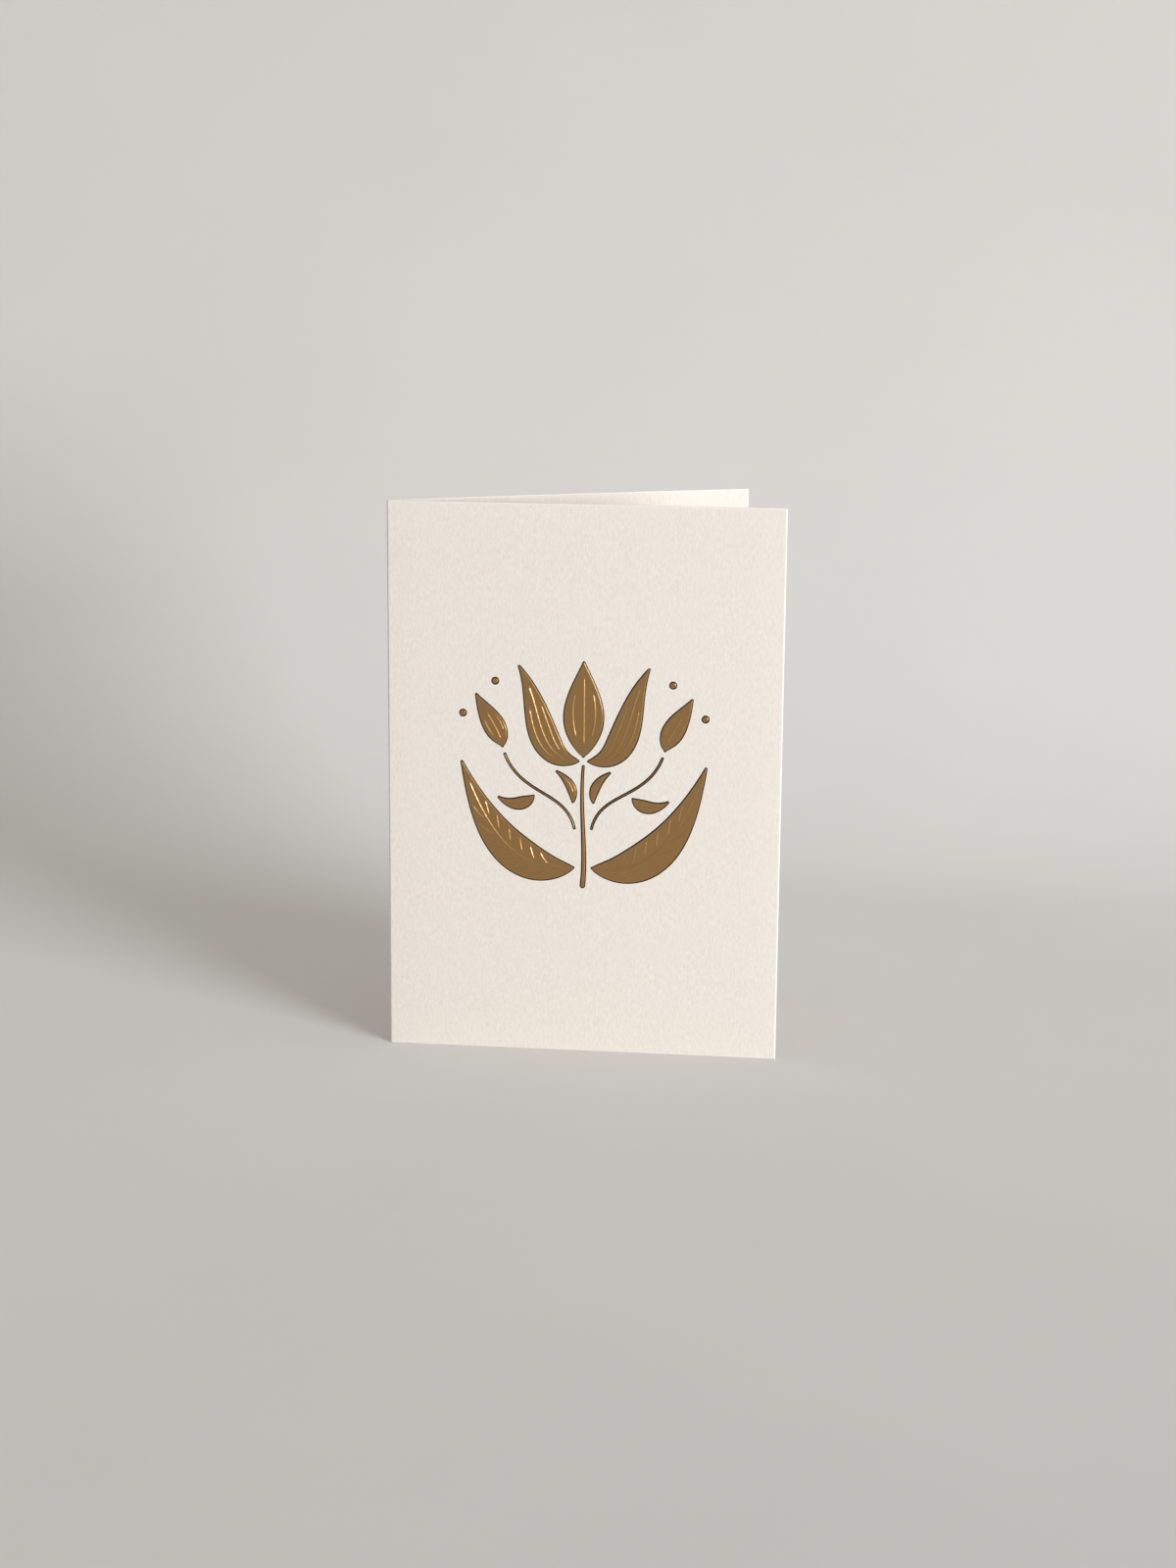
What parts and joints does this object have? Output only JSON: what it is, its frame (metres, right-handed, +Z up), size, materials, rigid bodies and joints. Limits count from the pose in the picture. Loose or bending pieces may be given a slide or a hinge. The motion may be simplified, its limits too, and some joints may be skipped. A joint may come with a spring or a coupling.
{
  "type": "greeting card",
  "caption": "Upright folded greeting card of ivory board, opened to a V, with a raised flower in gold foil on its cover.",
  "frame": {"origin": "on the standing surface, under the middle of the open card's box", "axes": "+Z up along the fold, +X from the fold to the cover's free edge, -Y out of the cover's face"},
  "size_m": [0.105, 0.0516, 0.148],
  "materials": {
    "board": "uncoated, fine vertical fibre",
    "foil": "satin hot-stamped foil, dark gold"
  },
  "bodies": {
    "root": {"card": "board", "foil_stem": "foil", "foil_petal_middle": "foil", "foil_petal_left": "foil", "foil_petal_right": "foil", "foil_leaf_left": "foil", "foil_leaf_right": "foil", "foil_bud_left": "foil", "foil_bud_right": "foil", "foil_leaflet_left": "foil", "foil_leaflet_right": "foil", "foil_sprig_left": "foil", "foil_sprig_right": "foil", "foil_twig_left": "foil", "foil_twig_right": "foil", "foil_berry_lower_left": "foil", "foil_berry_lower_right": "foil", "foil_berry_upper_left": "foil", "foil_berry_upper_right": "foil"}
  },
  "joints": []
}
